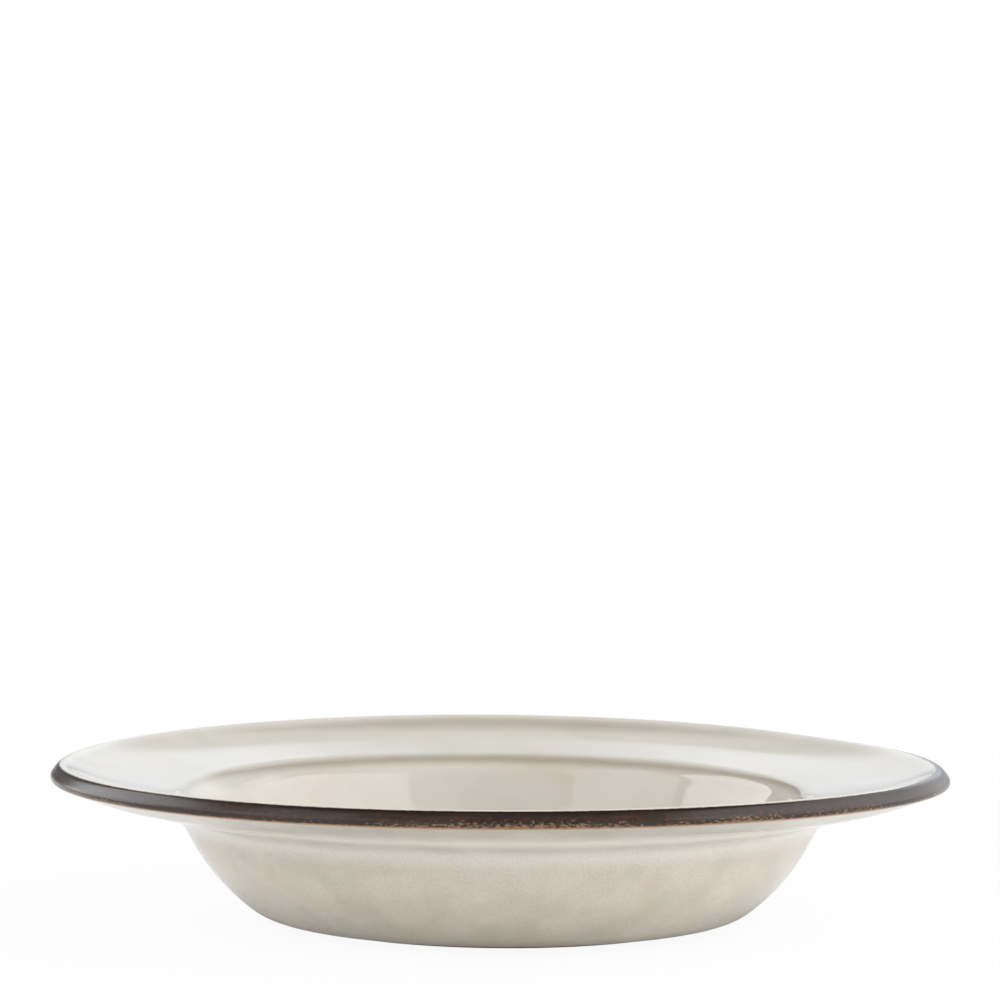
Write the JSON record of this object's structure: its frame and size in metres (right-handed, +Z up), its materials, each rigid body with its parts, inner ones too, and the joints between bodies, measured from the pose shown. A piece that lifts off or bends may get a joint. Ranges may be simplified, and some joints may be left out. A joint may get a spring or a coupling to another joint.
{
  "type": "rimmed soup plate",
  "caption": "Wide-rimmed soup plate in glazed stoneware with a deep round well, a low foot ring and a dark band along the lip, for serving soup or pasta.",
  "frame": {"origin": "centre of the foot ring's contact face, on the surface that the plate stands on", "axes": "+Z up along the plate's axis; X and Y level, the plate is alike all round"},
  "size_m": [0.24, 0.24, 0.044],
  "materials": {
    "stoneware": "bare fired stoneware, matte",
    "cream_glaze": "glossy cream reactive glaze",
    "wall_glaze": "glossy cream reactive glaze, mottled beige",
    "iron_glaze": "satin brown-black iron glaze",
    "base_glaze": "thin cream glaze"
  },
  "bodies": {
    "root": {"stoneware_body": "stoneware", "inner_glaze": "cream_glaze", "outer_glaze": "wall_glaze", "rim_band": "iron_glaze", "base_glaze": "base_glaze"}
  },
  "joints": []
}
